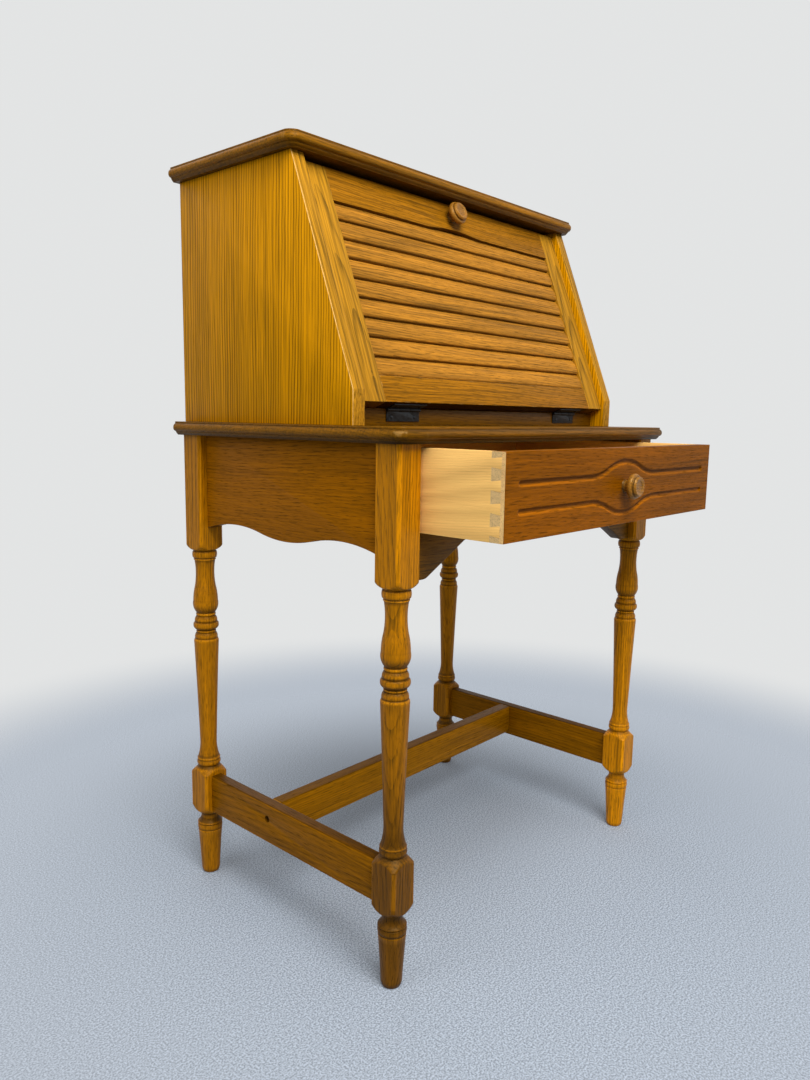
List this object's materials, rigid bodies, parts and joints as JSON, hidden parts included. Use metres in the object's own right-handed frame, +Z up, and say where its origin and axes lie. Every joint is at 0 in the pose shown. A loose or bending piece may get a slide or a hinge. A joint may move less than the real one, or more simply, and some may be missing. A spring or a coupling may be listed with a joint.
{
  "type": "slant-front writing desk",
  "caption": "Small oak writing desk on turned legs: a slatted fall front hinged along its lower edge opens flat onto the desk top, above a dovetailed drawer.",
  "frame": {"origin": "on the floor, under the middle of the desk's bounding box with the drawer standing open as in the picture", "axes": "+X along the front, to the right for someone facing the desk; -Y out of the front; +Z up"},
  "size_m": [0.68, 0.596, 1.097],
  "materials": {
    "oak_legs": "satin varnish",
    "oak_stretchers": "satin varnish",
    "oak_aprons": "satin varnish",
    "oak_moulding": "satin varnish, darkened along the edge",
    "oak_panel": "satin varnish",
    "oak_flap": "satin varnish",
    "oak_slat": "satin varnish",
    "oak_drawer_front": "satin varnish",
    "oak_knob": "satin varnish",
    "pine": "bare, planed",
    "black_iron": "blackened, half matt"
  },
  "bodies": {
    "desk": {"back_apron": "oak_aprons", "cabinet_back": "pine", "cabinet_bottom": "oak_panel", "cabinet_top": "oak_moulding", "desk_top": "oak_moulding", "divider_left": "oak_panel", "divider_right": "oak_panel", "drawer_runner_left": "pine", "drawer_runner_right": "pine", "flap_stop_left": "pine", "flap_stop_right": "pine", "front_apron": "oak_aprons", "hinge_pin_left": "black_iron", "hinge_pin_right": "black_iron", "hinge_rail": "oak_panel", "hinge_rail_leaf_left": "black_iron", "hinge_rail_leaf_right": "black_iron", "interior_shelf": "oak_panel", "leg_back_left": "oak_legs", "leg_back_right": "oak_legs", "leg_front_left": "oak_legs", "leg_front_right": "oak_legs", "side_apron_left": "oak_aprons", "side_apron_right": "oak_aprons", "side_panel_left": "oak_panel", "side_panel_right": "oak_panel", "stretcher_centre": "oak_stretchers", "stretcher_left": "oak_stretchers", "stretcher_right": "oak_stretchers", "top_cleat_left": "pine", "top_cleat_right": "pine"},
    "flap": {"flap_bottom_rail": "oak_flap", "flap_knob": "oak_knob", "flap_panel": "oak_flap", "flap_slat_1": "oak_slat", "flap_slat_2": "oak_slat", "flap_slat_3": "oak_slat", "flap_slat_4": "oak_slat", "flap_slat_5": "oak_slat", "flap_slat_6": "oak_slat", "flap_slat_7": "oak_slat", "flap_slat_8": "oak_slat", "flap_slat_9": "oak_slat", "flap_stile_left": "oak_flap", "flap_stile_right": "oak_flap", "flap_top_rail": "oak_flap", "hinge_flap_leaf_left": "black_iron", "hinge_flap_leaf_right": "black_iron"},
    "drawer": {"drawer_back": "pine", "drawer_bottom": "pine", "drawer_front": "oak_drawer_front", "drawer_knob": "oak_knob", "drawer_side_left": "pine", "drawer_side_right": "pine"}
  },
  "joints": [
    {"name": "flap_hinge", "type": "hinge", "parent": "desk", "child": "flap", "pos_m": [0, -0.0496, 0.7529], "axis": [1, 0, 0], "range_deg": [0, 110.97]},
    {"name": "drawer_slide", "type": "slide", "parent": "desk", "child": "drawer", "axis": [0, -1, 0], "range_m": [-0.123, 0.165]}
  ]
}
